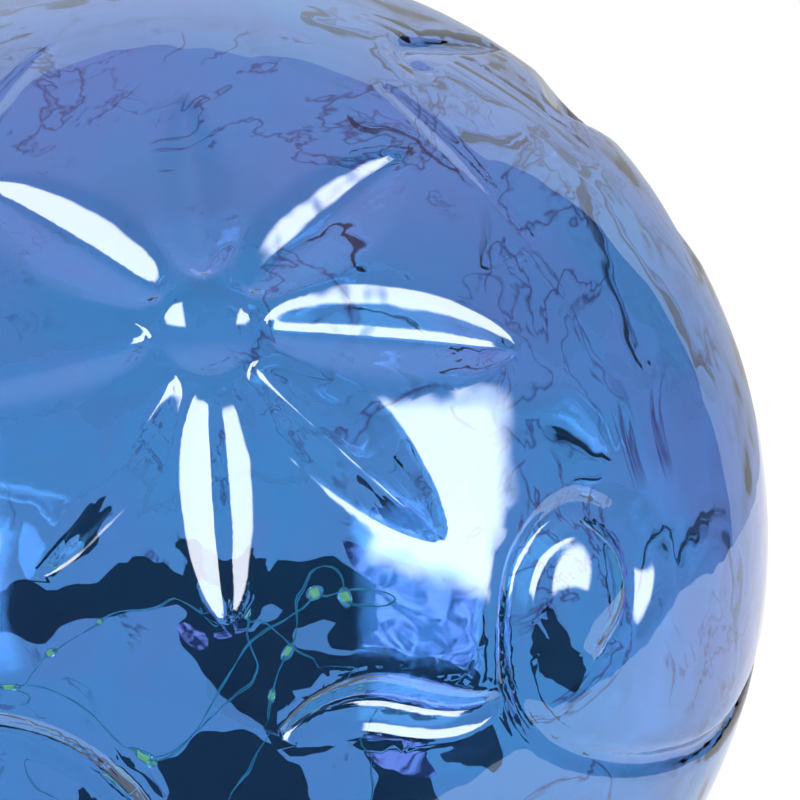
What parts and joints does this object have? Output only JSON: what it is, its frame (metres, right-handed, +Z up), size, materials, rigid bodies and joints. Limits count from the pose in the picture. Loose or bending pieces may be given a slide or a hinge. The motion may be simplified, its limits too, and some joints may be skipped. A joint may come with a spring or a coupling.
{
  "type": "gazing ball",
  "caption": "Hollow blown-glass garden gazing ball with pressed daisies, leaves and a running scroll, on a plug that closes its neck.",
  "frame": {"origin": "middle of the plug's flat underside, which the ball stands on", "axes": "+Z up along the neck and through the top of the ball; the front daisy faces -Y"},
  "size_m": [0.2538, 0.2538, 0.2845],
  "materials": {
    "lustre_glass": "see-through blue glass with a mirror-like lustre",
    "dark_plastic": "fine-grained matte"
  },
  "bodies": {
    "root": {"glass_ball": "lustre_glass", "neck_plug": "dark_plastic"}
  },
  "joints": []
}
